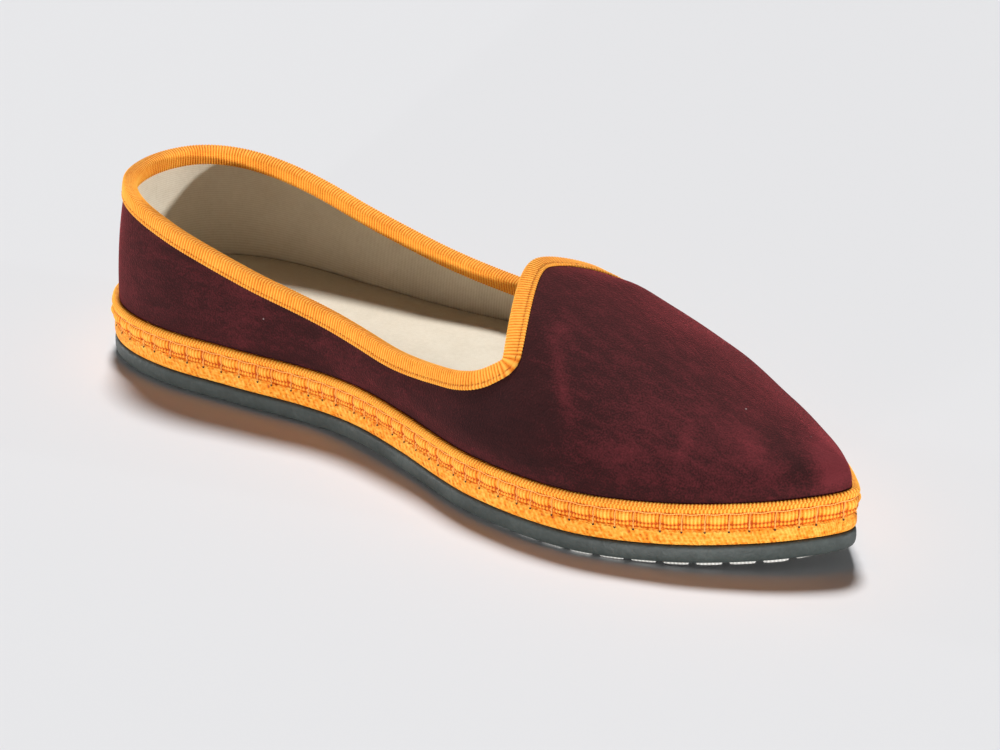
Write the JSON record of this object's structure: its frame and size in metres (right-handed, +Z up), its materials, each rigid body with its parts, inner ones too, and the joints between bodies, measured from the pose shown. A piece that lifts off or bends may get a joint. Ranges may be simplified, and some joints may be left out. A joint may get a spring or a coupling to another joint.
{
  "type": "furlane slipper",
  "caption": "Left furlane slipper: low velvet upper with a pointed toe and rising throat, ribbed tape bindings, cloth midsole and a stitched tyre-tread rubber sole.",
  "frame": {"origin": "on the floor, under the middle of the shoe's length and width", "axes": "+X towards the toe, +Y towards the outer side of the left foot, +Z up from the floor"},
  "size_m": [0.2574, 0.088, 0.0584],
  "materials": {
    "rubber": "worn matt tyre rubber, grey with a green cast",
    "wrap": "orange woven cotton wrapped round the edge of the midsole",
    "tape": "orange cross-ribbed cotton tape",
    "velvet": "burgundy velvet with a short nap",
    "lining": "plain unbleached cotton"
  },
  "bodies": {
    "root": {"outsole": "rubber", "midsole": "wrap", "border_tape": "tape", "upper": "velvet", "topline_tape": "tape", "insole": "lining"}
  },
  "joints": []
}
